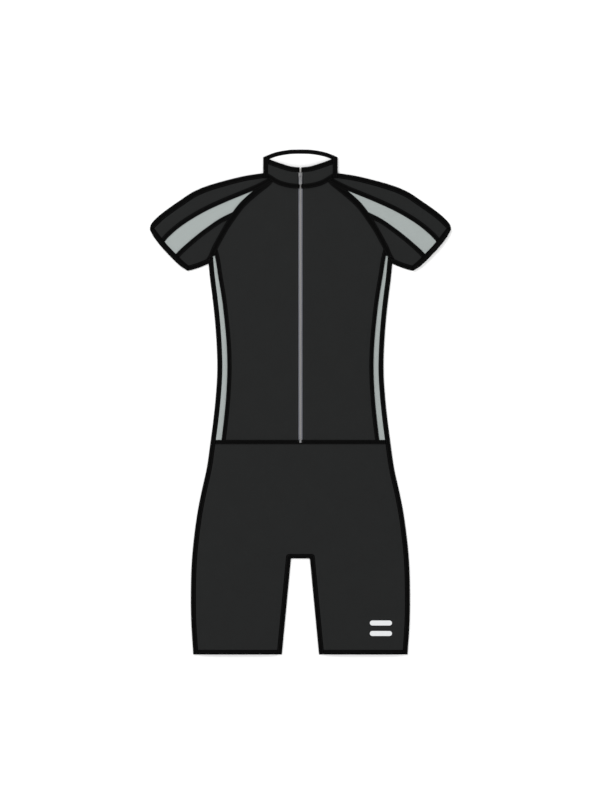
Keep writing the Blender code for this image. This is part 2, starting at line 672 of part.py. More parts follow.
def seam_tapes():
    """The tapes over the seams inside the front layer, made from the panels' points."""
    under, over = above_front(WALL + TAPE_GAP), above_front(WALL + TAPE_GAP + TAPE_WALL)
    collar_under = above_front(COLLAR_WALL + TAPE_GAP)
    collar_over = above_front(COLLAR_WALL + TAPE_GAP + TAPE_WALL)
    for name, outline in TAPES.items():
        if name == "collar_tape":
            pair(plate, name, outline, collar_under, collar_over, "black_tape")
        else:
            pair(plate, name, outline, under, over, "black_tape")
    plate("waist_tape", waist_tape, under, over, "black_tape")


def hems_and_bindings():
    """The hems of the cuffs and legs, and the binding along the collar's top edges."""
    start, end = moved(tip_mitre, -GAP), moved(cuff_mitre, GAP)
    cuff = matched(cut(cuff_inner, start, end), cut(cuff_outer, start, end))
    pair(flat_ring, "cuff", cuff, "black_tape")
    start, end = moved(side_inner, -GAP), moved(inseam_inner, -GAP)
    hem = matched(cut(leg_hem_inner, start, end), cut(hem_line, start, end))
    pair(flat_ring, "leg_hem", hem, "black_tape")
    front = region(zip_garage, collar_top_front, collar_end,
                   moved(collar_top_front, -FRONT_BINDING_WIDTH)[::-1])
    pair(plate, "collar_binding", front, above_front(0), above_front(COLLAR_WALL + HEM_PROUD),
         "black_tape")
    back = region_across(collar_top_back, collar_end, moved(collar_top_back, -BACK_BINDING_WIDTH)[::-1])
    plate("collar_binding_back", back, level(0), level(BACK_BINDING_WALL), "black_tape")


def zip_fastening():
    """The zip's two tapes, its chain, and the stops at its foot and above the slider."""
    def block(name, half, foot, top, rise, deep, finish, inner=None):
        inner = -half if inner is None else inner
        rails = (straight((inner, foot), (inner, top), 2 * STEP),
                 straight((half, foot), (half, top), 2 * STEP))
        section = [(0, above_front(rise)), (1, above_front(rise)), (1, above_front(rise + deep)),
                   (0, above_front(rise + deep))]
        if inner == -half:
            band(name, rails, section, finish)
        else:
            pair(band, name, rails, section, finish)
    block("zip_tape", ZIP_TAPE_REACH, WAIST + GAP, ZIP_TAPE_TOP, -GAP - ZIP_TAPE_WALL,
          ZIP_TAPE_WALL, "zip_tape", inner=GAP / 2)
    chain_foot = WAIST + waist_half + GAP
    block("zip_chain", ZIP_CHAIN_HALF, chain_foot, SLIDER_FOOT - GAP, 0, WALL, "zip_teeth")
    above_tape = WALL + TAPE_GAP + TAPE_WALL + GAP
    block("zip_foot_stop", ZIP_FOOT_HALF, chain_foot - ZIP_FOOT_LENGTH, chain_foot, above_tape,
          ZIP_FOOT_WALL, "slider_metal")
    stop_foot = SLIDER_FOOT + SLIDER_LENGTH + GAP
    block("zip_stop", ZIP_STOP_HALF, stop_foot, ZIP_TOP, 0, ZIP_STOP_DEEP, "zip_teeth")


def extruded(name, profile, axis, start, end, finish, origin, hinge=(0, 0, 0)):
    """A flat profile drawn out along X or Z from start to end, placed at its origin."""
    count = len(profile)
    points = []
    for depth in (start, end):
        for u, v in profile:
            points.append((depth, u, v) if axis == "x" else (u, v, depth))
    faces = [list(range(count)), list(range(2 * count - 1, count - 1, -1))]
    faces += [[i, (i + 1) % count, (i + 1) % count + count, i + count] for i in range(count)]
    return add_object(name, np.array(points) + origin, faces, finish, hinge)


def joined_with(made, tool, operation):
    """The object with a tool joined to it or cut from it. The tool isn't part of the garment."""
    tool.hide_render = True
    tool.display_type = "WIRE"
    change = made.modifiers.new(operation.title(), "BOOLEAN")
    change.operation = operation
    change.object = tool


def slider_and_pull():
    """The slider at the top of the zip, and the pull tab that swings on its bail."""
    middle = SLIDER_FOOT + SLIDER_LENGTH / 2
    top = float(front_under(np.zeros(1), np.array([middle]))[0]) + SLIDER_DEEP
    shoulder = SLIDER_LENGTH * SLIDER_WAIST
    plan = [(-SLIDER_FOOT_HALF, 0), (SLIDER_FOOT_HALF, 0), (SLIDER_HALF, shoulder),
            (SLIDER_HALF, SLIDER_LENGTH), (-SLIDER_HALF, SLIDER_LENGTH), (-SLIDER_HALF, shoulder)]
    slider = extruded("zip_slider", plan, "z", -SLIDER_DEEP + SLIDER_CLEAR, 0, "slider_metal",
                      (0, SLIDER_FOOT, top))
    inner, outer = BAIL_CLEAR_LONG / 2, BAIL_CLEAR_LONG / 2 + BAIL_BAR
    peak = BAIL_CLEAR_HIGH + BAIL_BAR
    arch = [(-outer, -1), (-inner, -1), (-inner, BAIL_CLEAR_HIGH), (inner, BAIL_CLEAR_HIGH),
            (inner, -1), (outer, -1), (outer, peak - BAIL_BAR), (inner, peak), (-inner, peak),
            (-outer, peak - BAIL_BAR)]
    bail = extruded("bail", arch, "x", -BAIL_HALF, BAIL_HALF, "slider_metal", (0, middle, top))
    joined_with(slider, bail, "UNION")

    axis = (0, middle, top + BAIL_CLEAR_HIGH / 2)
    half = PULL_WALL / 2
    neck = PULL_EYE_END + PULL_NECK_BELOW_EYE
    across, along = PULL_FOOT_CORNER
    right = [(PULL_FOOT_HALF - across, -PULL_LENGTH), (PULL_FOOT_HALF, along - PULL_LENGTH),
             (PULL_NECK_HALF, -neck), (PULL_HEAD_HALF, -PULL_EYE_END), (PULL_HEAD_HALF, half)]
    tab = [(-x, y) for x, y in reversed(right)] + right
    pull = extruded("zip_pull", tab, "z", -half, half, "slider_metal", axis, hinge=axis)
    eye = [(-PULL_EYE_HALF, -half), (PULL_EYE_HALF, -half), (PULL_EYE_HALF, -PULL_EYE_END),
           (-PULL_EYE_HALF, -PULL_EYE_END)]
    window = extruded("eye", eye, "z", -PULL_WALL, PULL_WALL, "slider_metal", axis)
    joined_with(pull, window, "DIFFERENCE")


def reflectors():
    """Two plain round-ended strips on the front of the left leg."""
    radius = REFLECTOR_WIDTH / 2
    turn = np.linspace(-np.pi / 2, np.pi / 2, 7)
    for name, height in REFLECTOR_HEIGHTS.items():
        right = np.column_stack([np.cos(turn), np.sin(turn)]) * radius
        outline = np.vstack([right + (REFLECTOR_RIGHT - radius, height),
                             -right + (REFLECTOR_LEFT + radius, height)])
        plate(name, outline, above_front(WALL + GAP), above_front(WALL + GAP + REFLECTOR_WALL),
              "reflective")


def build():
    """Clear the scene and make the garment."""
    for thing in list(bpy.data.objects):
        bpy.data.objects.remove(thing, do_unlink=True)
    back_panels()
    front_panels()
    closed_edges()
    seam_tapes()
    hems_and_bindings()
    zip_fastening()
    slider_and_pull()
    reflectors()


build()
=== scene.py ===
"""The looks of the unitard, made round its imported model.

The garment lies flat on its back, front up, and the camera looks straight down at it. Sizes are in
metres: +X is the wearer's left, +Y runs up to the collar and +Z is up. Each cloth solid of the
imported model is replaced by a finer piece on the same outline, with rounded edges, soft seams and a
knitted finish. The sewing on both sides, the zip's teeth and its bartacks are added here.
"""

import math

import bmesh
import bpy
import numpy as np
from mathutils import Matrix, Vector, noise
from mathutils.bvhtree import BVHTree
from mathutils.geometry import delaunay_2d_cdt
from mathutils.kdtree import KDTree


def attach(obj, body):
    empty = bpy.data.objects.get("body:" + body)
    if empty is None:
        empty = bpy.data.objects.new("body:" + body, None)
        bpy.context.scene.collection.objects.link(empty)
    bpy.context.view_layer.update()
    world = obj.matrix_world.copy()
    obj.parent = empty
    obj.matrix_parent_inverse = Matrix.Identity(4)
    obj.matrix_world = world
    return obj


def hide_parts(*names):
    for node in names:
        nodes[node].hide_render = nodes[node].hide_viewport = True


MM = 0.001

# The picture: how much of the table it spans, and where its middle is
PICTURE_SPAN = 1.6905
PICTURE_MIDDLE = (-0.0009, -0.001)
LENS = 200.0
SENSOR = 36.0
FAR_LIMIT = 60.0
AIM_HEIGHT = 4 * MM

# The table and the studio's light
FLOOR_HALF = 12.0
FLOOR_CORNERS = ((-1, -1), (1, -1), (1, 1), (-1, 1))
FLOOR_DROP = 0.15 * MM
FLOOR_TONE = (0.95, 0.95, 0.95, 1)
FLOOR_GLOW = 0.16
WHITE = (1, 1, 1, 1)
ROOM_LIGHT = 0.72
KEY_PLACE = (-2.2, 2.4, 2.6)
KEY_SIZE = 2.0
KEY_POWER = 75.0
FILL_PLACE = (2.6, -1.6, 2.8)
FILL_SIZE = 2.4
FILL_POWER = 25.0

# Colours, and pairs of tones that a finish varies between
CHARCOAL = (0.0156, 0.0163, 0.0163)
GREY = (0.383, 0.420, 0.410)
BLACK = (0.0016, 0.0016, 0.0016)
ZIP_CLOTH = (0.235, 0.245, 0.29)
BLACK_THREAD = (0.004, 0.004, 0.004)
CHARCOAL_THREAD = (0.019, 0.02, 0.02)
FACING_TONES = ((0.93, 0.93, 0.93, 1), (0.99, 0.99, 0.99, 1))
TEETH_TONES = ((0.17, 0.165, 0.157, 1), (0.41, 0.4, 0.385, 1))
METAL_TONES = ((0.2, 0.2, 0.21, 1), (0.42, 0.42, 0.42, 1))
FILM_TONES = ((0.7, 0.72, 0.73, 1), (0.86, 0.87, 0.88, 1))

# Sizes of what shows in each finish. Deep is the depth of its relief
WALE = 1.0 * MM
COURSE = 1.3 * MM
LOOP_DEEP = 0.3 * MM
KNIT_PATCH = 45 * MM
KNIT_FLECK = 1.6 * MM
KNIT_SHEEN = 6 * MM
TAPE_RIB = 0.9 * MM
ZIP_RIB = 0.6 * MM
RIB_DEEP = 0.28 * MM
RIB_FLECK = 2.2 * MM
RIB_SHEEN = 5 * MM
FACING_WALE = 1.1 * MM
FACING_COURSE = 1.4 * MM
FACING_DEEP = 0.15 * MM
FACING_PATCH = 12 * MM
FACING_SHEEN = 4 * MM
NAP = 0.7 * MM
NAP_DEEP = 0.2 * MM
THREAD_TWIST = 0.35 * MM
THREAD_DEEP = 0.08 * MM
THREAD_PATCH = 3 * MM
TEETH_MOTTLE = 2.6 * MM
TEETH_SHEEN = 1.2 * MM
TEETH_PIT = 0.4 * MM
TEETH_DEEP = 0.05 * MM
BRUSH_MARK = 0.3 * MM
BRUSH_STRETCH = (1.0, 0.08, 1.0)
BRUSH_DEEP = 0.03 * MM
METAL_WORN = 4 * MM
FILM_BEAD = 0.5 * MM
FILM_DEEP = 0.08 * MM
FILM_PATCH = 5 * MM

# How the pieces are drawn. Ring shares are of an edge's rounding, and grid shares of the grid
SIDES = ("left", "right")
TAPES = ("raglan_tape", "stripe_upper_tape", "stripe_lower_tape", "side_tape", "collar_tape")
SEAMS = ("shoulder_seam", "underarm_seam", "side_seam", "collar_side")
RIM_STEP = 4.5 * MM
FILM_STEP = 0.7 * MM
BAND_STEP = 1.5 * MM
PANEL_GRID = 6.5 * MM
BACK_GRID = 14 * MM
STRIP_GRID = 4.0 * MM
GRID_ROW_SHARE = 0.866
GRID_CLEAR_SHARE = 0.4
RING_SHARES = (0.25, 1.0, 2.4)
RING_CLEAR = 0.8
UNDER_ROW_CLEAR = 0.9
READ_INSIDE = 1.6 * MM
SEARCH_FROM = 0.02
FACES_UP = 0.3
CORNER_TURN = math.radians(28)
SHARP_TURN = math.radians(33)
LONG_SIDE = 2.2
END_SIDE = 16 * MM
NARROW_SHARE = 0.34
BOX_TURNS = np.radians(np.arange(0, 180, 3))
MITRE_LIMIT = 0.5
HEIGHT_SMOOTHING = 8
CLOTH_GROWS = 0.28 * MM
MOST_AT_ONCE = 2_000_000
WELD = 1e-6
SHORTEST = 1e-7
TINY = 1e-9

# Rounding of the edges, at the top and at the bottom
PANEL_ROUNDING = (0.5 * MM, 0.3 * MM)
TAPE_ROUNDING = (0.45 * MM, 0.1 * MM)
EDGE_ROUNDING = (1.1 * MM, 0.7 * MM)
BINDING_ROUNDING = (0.8 * MM, 0.5 * MM)
ZIP_TAPE_ROUNDING = (0.2 * MM, 0.2 * MM)
FILM_ROUNDING = (0.25 * MM, 0.05 * MM)
HEM_BEVEL = 0.4 * MM
STOP_BEVEL = 0.35 * MM
METAL_BEVEL = 0.3 * MM
BEVEL_STEPS = 3

# The way each panel's wales run, in degrees
UPRIGHT = 0.0
ACROSS = 90.0
SLEEVE_TURN = {"left": 38.0, "right": -38.0}

# Soft relief of the cloth. Each noise has its squeeze across, its squeeze along and its slice
WAVE_HIGH = 0.55 * MM
WAVE_LONG = 0.11
WAVE_FADE = 40 * MM
BROAD_WAVE = (1, 0.6, 4.2)
SMALL_WAVE = (3, 2, 9.1)
SMALL_WAVE_SHARE = 0.35
SEAM_SINK = 0.22 * MM
SEAM_REACH = 5 * MM
PUCKER_HIGH = 0.16 * MM
PUCKER_LONG = 9 * MM
PUCKER_REACH = 12 * MM
PUCKER_NOISE = (1, 1, 1.7)
PUCKER_MEAN = 0.5
COLLAR_PUCKERS = 0.6
FACING_PUCKERS = 0.5
TAPE_SETTLES = 0.38 * MM
FILM_SETTLES = 0.28 * MM
ZIP_CALM_HALF = 16 * MM
HELD_STEP = 5 * MM

# Sewing
STITCH_PITCH = 3.4 * MM
STITCH_SIZE = (2.7 * MM, 0.5 * MM, 0.36 * MM)
STITCH_SINK = 0.05 * MM
STITCH_SIDES = 8
STITCH_RINGS = 5
ROW_STEP = 3 * MM
ROW_TRIM = 2.5 * MM
TAPE_INSET = 1.7 * MM
EDGE_INSET = 2.2 * MM
BINDING_INSET = 1.8 * MM
HEM_INSETS = (1.8 * MM, 4.6 * MM)
BARTACK_PITCH = 0.55 * MM
BARTACK_LONG = 3.0 * MM
BARTACK_POINTS = 6
BARTACK_UP = 1.2 * MM
BARTACK_SIZE = (0.5 * MM, 3.6 * MM, 0.6 * MM)

# The zip
ZIP_HALF = 2.7 * MM
WAIST_Y = -84 * MM
ZIP_ROW_OUT = 8.6 * MM
ZIP_ROWS = (("body_front", WAIST_Y + 8 * MM, 0.446), ("collar_front", 0.4595, 0.4825))
CHAIN_FOOT_Y = -79.6 * MM
SLIDER_FOOT_Y = 469.5 * MM
TOOTH_PITCH = 4.4 * MM
TOOTH_OUT = 1.75 * MM
TOOTH_FOOT = (2.0 * MM, 2.0 * MM, 1.3 * MM)
TOOTH_HEAD = (2.8 * MM, 1.7 * MM, 1.7 * MM)
TOOTH_HEAD_IN = 1.25 * MM
TOOTH_SINK = 0.75 * MM
TOOTH_START = 1.0 * MM
TOOTH_END = 0.8 * MM
TOOTH_SMOOTHING = 2
TOOTH_CREASE = 0.55

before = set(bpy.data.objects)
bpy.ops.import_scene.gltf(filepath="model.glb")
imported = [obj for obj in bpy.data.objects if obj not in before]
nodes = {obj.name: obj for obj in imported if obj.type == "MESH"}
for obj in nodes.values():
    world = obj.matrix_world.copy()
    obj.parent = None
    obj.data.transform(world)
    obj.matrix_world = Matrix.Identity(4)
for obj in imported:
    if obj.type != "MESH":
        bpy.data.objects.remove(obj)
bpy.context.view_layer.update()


# Shader values
class Value:
    """A number or colour of a material that takes arithmetic."""

    def __init__(self, looks, socket):
        self.looks = looks
        self.socket = socket

    def math(self, operation, *others):
        return self.looks.add("ShaderNodeMath", {"operation": operation}, self, *others)

    def __add__(self, other):
        return self.math("ADD", other)

    def __sub__(self, other):
        return self.math("SUBTRACT", other)

    def __mul__(self, other):
        return self.math("MULTIPLY", other)

    def __truediv__(self, other):
        return self.math("DIVIDE", other)

    def wave(self):
        """Between 0 and 1, once for each whole number."""
        return (self * math.tau).math("SINE") * 0.5 + 0.5

    def from_middle(self):
        """How far the number is from the nearest half, between 0 and 0.5."""
        return (self.math("FRACT") - 0.5).math("ABSOLUTE")


class Looks:
    """A material whose nodes are added one call at a time."""

    def __init__(self, name, roughness=0.8, shine=0.1, metallic=0.0, sheen=0.0):
        self.material = bpy.data.materials.new(name)
        self.material.use_nodes = True
        self.tree = self.material.node_tree
        self.shader = self.tree.nodes["Principled BSDF"]
        self.shader.inputs["Roughness"].default_value = roughness
        self.shader.inputs["Specular IOR Level"].default_value = shine
        self.shader.inputs["Metallic"].default_value = metallic
        self.shader.inputs["Sheen Weight"].default_value = sheen

    def add(self, kind, settings, *values, output=0, **named):
        """A node with these settings and inputs. Its output comes back as a value."""
        node = self.tree.nodes.new(kind)
        for key, setting in settings.items():
            setattr(node, key, setting)
        for slot, value in [*enumerate(values), *named.items()]:
            socket = node.inputs[slot if isinstance(slot, int) else slot.replace("_", " ")]
            if isinstance(value, Value):
                self.tree.links.new(value.socket, socket)
            else:
                socket.default_value = value
        return Value(self, node.outputs[output])

    def grain(self):
        """The cloth's own coordinates in metres, across and along its wales."""
        vector = self.add("ShaderNodeAttribute", {"attribute_name": "grain"}, output="Vector")
        parts = self.tree.nodes.new("ShaderNodeSeparateXYZ")
        self.tree.links.new(vector.socket, parts.inputs[0])
        return vector, Value(self, parts.outputs[0]), Value(self, parts.outputs[1])

    def place(self):
        return self.add("ShaderNodeTexCoord", {}, output="Object")

    def noise(self, vector, size, detail=2.0):
        """Soft noise between 0 and 1, with features of about that size in metres."""
        return self.add("ShaderNodeTexNoise", {}, Vector=vector, Scale=1 / size, Detail=detail,
                        Roughness=0.55)

    def mix(self, share, first, second):
        """A colour between two others."""
        node = self.tree.nodes.new("ShaderNodeMix")
        node.data_type = "RGBA"
        self.tree.links.new(share.socket, node.inputs[0])
        node.inputs[6].default_value = first
        node.inputs[7].default_value = second
        return Value(self, node.outputs[2])

    def bump(self, height, deep, strength):
        """Relief of that depth in metres."""
        before = self.shader.inputs["Normal"].links
        settings = {"Height": height, "Distance": deep, "Strength": strength}
        if before:
            settings["Normal"] = Value(self, before[0].from_socket)
        made = self.add("ShaderNodeBump", {}, **settings)
        self.tree.links.new(made.socket, self.shader.inputs["Normal"])

    def feed(self, slot, value):
        self.tree.links.new(value.socket, self.shader.inputs[slot])


def shade(colour, factor):
    return (*[min(1.0, c * factor) for c in colour], 1.0)


def knit(name, colour, heather_and_shade, shine):
    """A fine warp knit with narrow wales, and threads that differ a little in colour. Its colour also
    carries painted shade: darker in the hollows between the loops, lighter on their tops.
    """
    looks = Looks(name, roughness=0.82, shine=shine, sheen=0.02)
    grain, across, along = looks.grain()
    lean = (across / WALE).from_middle()
    row = along / COURSE + lean * 1.3
    loop = row.wave() * 0.55 + (lean * lean * -2.4 + 0.6)
    looks.bump(loop, LOOP_DEEP, 0.9)
    patch = looks.noise(grain, KNIT_PATCH)
    fleck = looks.noise(grain, KNIT_FLECK, 3.0)
    # The flecks and patches are the threads' own tones; the loop share is painted shade that follows
    # the loops' relief.
    share = fleck * 0.42 + patch * 0.2 + loop * 0.38
    tone = looks.mix(share, shade(colour, 1 - heather_and_shade), shade(colour, 1 + heather_and_shade))
    looks.feed("Base Color", tone)
    looks.feed("Roughness", looks.noise(grain, KNIT_SHEEN) * 0.16 + 0.74)
    return looks.material


def ribbed(name, colour, rib, shine, varied):
    """A knitted or woven tape with fine ribs along it and shorter picks across. Its colour also
    carries painted shade: darker between the ribs and picks, lighter on their tops.
    """
    looks = Looks(name, roughness=0.8, shine=shine)
    grain, across, along = looks.grain()
    rib_high = (across / rib).wave()
    pick = (along / (rib * 0.8) + (across / rib).math("FLOOR") * 0.5).wave()
    looks.bump(rib_high * 0.65 + pick * 0.35, RIB_DEEP, 0.9)
    # The noise is the tape's own tone; the rib and pick shares are painted shade that follows their
    # relief.
    share = looks.noise(grain, RIB_FLECK, 3.0) * 0.45 + rib_high * 0.35 + pick * 0.2
    looks.feed("Base Color", looks.mix(share, shade(colour, 1 - varied), shade(colour, 1 + varied)))
    looks.feed("Roughness", looks.noise(grain, RIB_SHEEN) * 0.14 + 0.72)
    return looks.material


def brushed_facing():
    """The pale inside of the collar: a soft brushed knit."""
    looks = Looks("white_facing_cloth", shine=0.1)
    grain, across, along = looks.grain()
    looks.bump((across / FACING_WALE).wave() * (along / FACING_COURSE).wave(), FACING_DEEP, 0.5)
    looks.bump(looks.noise(grain, NAP, 4.0), NAP_DEEP, 0.4)
    share = looks.noise(grain, FACING_PATCH)
    looks.feed("Base Color", looks.mix(share, *FACING_TONES))
    looks.feed("Roughness", looks.noise(grain, FACING_SHEEN) * 0.1 + 0.82)
    return looks.material


def thread(name, colour):
    """Twisted sewing thread with a slight shine."""
    looks = Looks(name, roughness=0.55, shine=0.25)
    place = looks.place()
    looks.bump(looks.noise(place, THREAD_TWIST), THREAD_DEEP, 0.5)
    share = looks.noise(place, THREAD_PATCH)
    looks.feed("Base Color", looks.mix(share, shade(colour, 0.75), shade(colour, 1.25)))
    return looks.material


def moulded_teeth():
    """Warm grey moulded teeth with a mottled tone."""
    looks = Looks("zip_teeth_moulded", roughness=0.45, shine=0.4)
    place = looks.place()
    share = looks.noise(place, TEETH_MOTTLE, 3.0)
    looks.feed("Base Color", looks.mix(share, *TEETH_TONES))
    looks.feed("Roughness", looks.noise(place, TEETH_SHEEN) * 0.2 + 0.35)
    looks.bump(looks.noise(place, TEETH_PIT, 3.0), TEETH_DEEP, 0.4)
    return looks.material


def plated_metal():
    """Grey plated metal, brushed along its length and brighter where fingers rub it."""
    looks = Looks("slider_plated_metal", roughness=0.3, shine=0.5, metallic=1.0)
    place = looks.place()
    stretched = looks.add("ShaderNodeVectorMath", {"operation": "MULTIPLY"}, place, BRUSH_STRETCH)
    brushed = looks.noise(stretched, BRUSH_MARK, 3.0)
    worn = looks.noise(place, METAL_WORN)
    looks.feed("Base Color", looks.mix(worn, *METAL_TONES))
    looks.feed("Roughness", brushed * 0.2 + worn * 0.1 + 0.2)
    looks.bump(brushed, BRUSH_DEEP, 0.4)
    return looks.material


def beaded_film():
    """Pale retroreflective film: tiny glass beads under a fine net of dots. Its colour also carries
    painted shade: darker in the hollows of the beads' relief, lighter on its tops.
    """
    looks = Looks("reflective_film", roughness=0.4, shine=0.5)
    place = looks.place()
    beads = looks.add("ShaderNodeTexVoronoi", {}, output="Distance", Vector=place, Scale=1 / FILM_BEAD)
    looks.bump(beads, FILM_DEEP, 0.5)
    # The noise is the film's own tone; the bead share is painted shade that follows the beads' relief.
    share = beads * 0.6 + looks.noise(place, FILM_PATCH) * 0.4
    looks.feed("Base Color", looks.mix(share, *FILM_TONES))
    looks.feed("Roughness", beads * 0.25 + 0.28)
    return looks.material


MATERIALS = {
    "charcoal_knit": knit("charcoal_warp_knit", CHARCOAL, 0.34, 0.1),
    "grey_knit": knit("grey_warp_knit", GREY, 0.12, 0.2),
    "white_facing": brushed_facing(),
    "black_tape": ribbed("black_knitted_tape", BLACK, TAPE_RIB, 0.04, 0.6),
    "zip_tape": ribbed("zip_woven_tape", ZIP_CLOTH, ZIP_RIB, 0.2, 0.2),
    "zip_teeth": moulded_teeth(),
    "slider_metal": plated_metal(),
    "reflective": beaded_film(),
}
THREADS = {
    "black": thread("black_sewing_thread", BLACK_THREAD),
    "charcoal": thread("charcoal_sewing_thread", CHARCOAL_THREAD),
}


# Plan outlines
def joined(node):
    """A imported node's form, with the points that its faces share joined up."""
    form = bmesh.new()
    form.from_mesh(nodes[node].data)
    bmesh.ops.remove_doubles(form, verts=form.verts, dist=WELD)
    form.normal_update()
    return form


def top_outline(form):
    """The plan of a form's upper side, as points in order, anticlockwise."""
    after = {}
    for face in form.faces:
        if face.normal.z < FACES_UP:
            continue
        for loop in face.loops:
            other = loop.link_loop_radial_next
            if other is loop or other.face.normal.z < FACES_UP:
                after[loop.vert] = loop.link_loop_next.vert
    vert = next(iter(after))
    ordered = []
    while vert in after:
        ordered.append(vert.co[:2])
        vert = after.pop(vert)
    return np.array(ordered)


def flat_area(outline):
    after = np.roll(outline, -1, axis=0)
    return 0.5 * (outline[:, 0] * after[:, 1] - outline[:, 1] * after[:, 0]).sum()


def turns_of(outline):
    """How sharply the outline turns at each of its points."""
    run = np.roll(outline, -1, axis=0) - outline
    heading = np.arctan2(run[:, 1], run[:, 0])
    return np.abs((heading - np.roll(heading, 1) + np.pi) % (2 * np.pi) - np.pi)


def divided(outline, step):
    """A smooth closed curve through the outline's points, sharp only at its corners."""
    run = np.roll(outline, -1, axis=0) - outline
    length = np.maximum(np.linalg.norm(run, axis=1), SHORTEST)
    before, run_before = np.roll(length, 1), np.roll(run, 1, axis=0)
    slope = (run_before * (length / before)[:, None] + run * (before / length)[:, None])
    slope /= (before + length)[:, None]
    sharp = turns_of(outline) > SHARP_TURN
    after = np.roll(length, -1)
    parts = []
    for i, start in enumerate(outline):
        j = (i + 1) % len(outline)
        leave = run[i] if sharp[i] or length[i] > LONG_SIDE * before[i] else slope[i] * length[i]
        arrive = run[i] if sharp[j] or length[i] > LONG_SIDE * after[i] else slope[j] * length[i]
        count = max(1, round(length[i] / step))
        t = (np.arange(count) / count)[:, None]
        parts.append((2 * t**3 - 3 * t**2 + 1) * start + (t**3 - 2 * t**2 + t) * leave
                     + (3 * t**2 - 2 * t**3) * outline[j] + (t**3 - t**2) * arrive)
    return np.vstack(parts)


def inward(outline):
    """The direction into the area at each point of its outline."""
    before, after = np.roll(outline, 1, axis=0), np.roll(outline, -1, axis=0)
    sides = []
    for run in (outline - before, after - outline):
        run = run / np.maximum(np.linalg.norm(run, axis=1), TINY)[:, None]
        sides.append(np.stack([-run[:, 1], run[:, 0]], axis=1))
    total = sides[0] + sides[1]
    length = np.maximum(np.linalg.norm(total, axis=1), MITRE_LIMIT)
    return total / length[:, None] ** 2 * 2


def nearest_on(spots, starts, ends):
    """For each spot the distance to the nearest of these sides, and how far along them it is."""
    runs = ends - starts
    lengths = np.linalg.norm(runs, axis=1)
    done = np.concatenate([[0], np.cumsum(lengths)[:-1]])
    distances, alongs = [], []
    for some in np.array_split(spots, len(spots) * len(starts) // MOST_AT_ONCE + 1):
        share = ((some[:, None] - starts) * runs).sum(-1) / np.maximum(lengths**2, TINY**2)
        share = np.clip(share, 0, 1)
        gap = np.linalg.norm(some[:, None] - (starts + share[..., None] * runs), axis=-1)
        best = gap.argmin(1)
        rows = np.arange(len(some))
        distances.append(gap[rows, best])
        alongs.append(done[best] + share[rows, best] * lengths[best])
    return np.concatenate(distances), np.concatenate(alongs)


def edge_distance(spots, outline):
    return nearest_on(spots, outline, np.roll(outline, -1, axis=0))[0]


def inside_of(outline, spots):
    """Which spots are inside an outline."""
    start, end = outline, np.roll(outline, -1, axis=0)
    x, y = spots[:, :1], spots[:, 1:]
    spans = (start[:, 1] > y) != (end[:, 1] > y)
    rise = np.where(end[:, 1] == start[:, 1], np.inf, end[:, 1] - start[:, 1])
    right = x < start[:, 0] + (y - start[:, 1]) / rise * (end[:, 0] - start[:, 0])
    return (spans & right).sum(1) % 2 == 1


def length_of(line):
    return float(np.linalg.norm(np.diff(line, axis=0), axis=1).sum())


def rails_of(outline):
    """The two long sides of a strip, both in the outline's direction."""
    corners = np.nonzero(turns_of(outline) > CORNER_TURN)[0]
    outline, corners = np.roll(outline, -corners[0], axis=0), corners - corners[0]
    closed = np.vstack([outline, outline[:1]])
    rails, current = [], []
    for start, end in zip(corners, [*corners[1:], len(outline)]):
        side = closed[start:end + 1]
        if length_of(side) < END_SIDE:
            if current:
                rails.append(np.vstack(current))
            current = []
        else:
            current.append(side if not current else side[1:])
    if current:
        rails.append(np.vstack(current))
    rails.sort(key=length_of, reverse=True)
    return rails[:2]


def resampled(line, step, trim):
    """The line as evenly spaced points, without a short length at both ends."""
    done = np.concatenate([[0], np.cumsum(np.linalg.norm(np.diff(line, axis=0), axis=1))])
    count = max(2, round((done[-1] - 2 * trim) / step) + 1)
    places = np.linspace(trim, done[-1] - trim, count)
    return np.stack([np.interp(places, done, line[:, k]) for k in range(line.shape[1])], axis=1)


def row_beside(rail, inset):
    """A line that runs beside a rail, that far to its left."""
    line = resampled(rail, ROW_STEP, ROW_TRIM)
    along = np.gradient(line, axis=0)
    along /= np.linalg.norm(along, axis=1)[:, None]
    return line + inset * np.stack([-along[:, 1], along[:, 0]], axis=1)


def both(name):
    return [f"{name}_{side}" for side in SIDES]


# Relief
held_nodes = ["inseam"]
for closed in (*SEAMS, "cuff", "leg_hem"):
    held_nodes += both(closed)
held_places = np.vstack([divided(top_outline(joined(node)), HELD_STEP) for node in held_nodes])
held_tree = KDTree(len(held_places))
for index, (x, y) in enumerate(held_places):
    held_tree.insert((x, y, 0), index)
held_tree.balance()


def smoothstep(x):
    x = np.clip(x, 0, 1)
    return x * x * (3 - 2 * x)


def soft_noise(spots, long, shape):
    """Soft noise at each spot, with features of about that length."""
    across, along, level = shape
    places = [Vector((across * x / long, along * y / long, level)) for x, y in spots]
    return np.array([noise.noise(place) for place in places])


def wave(spots):
    """The slight waves of the front layer, which fade out towards closed edges and the zip."""
    held = np.array([held_tree.find((x, y, 0))[2] for x, y in spots])
    calm = smoothstep(held / WAVE_FADE) * smoothstep((np.abs(spots[:, 0]) - ZIP_CALM_HALF) / WAVE_FADE)
    swell = soft_noise(spots, WAVE_LONG, BROAD_WAVE)
    swell = swell + SMALL_WAVE_SHARE * soft_noise(spots, WAVE_LONG, SMALL_WAVE)
    return WAVE_HIGH * calm * swell


def puckers(spots, distance):
    """How deep the cloth dips beside a seam, with the short puckers that cross it."""
    ripple = soft_noise(spots, PUCKER_LONG, PUCKER_NOISE)
    dip = SEAM_SINK * np.exp(-distance / SEAM_REACH)
    return dip + PUCKER_HIGH * (PUCKER_MEAN + ripple) * np.exp(-distance / PUCKER_REACH)


# Cloth pieces
def ray_heights(tree, spots, up):
    """The height where a straight line down, or up, from each spot meets the form."""
    start = -1.0 if up else 1.0
    heights = []
    for x, y in spots:
        hit = tree.ray_cast(Vector((x, y, start)), Vector((0, 0, -start)))[0]
        if hit is None:
            hit = tree.find_nearest(Vector((x, y, start * SEARCH_FROM)))[0]
        heights.append(hit.z)
    return np.array(heights)


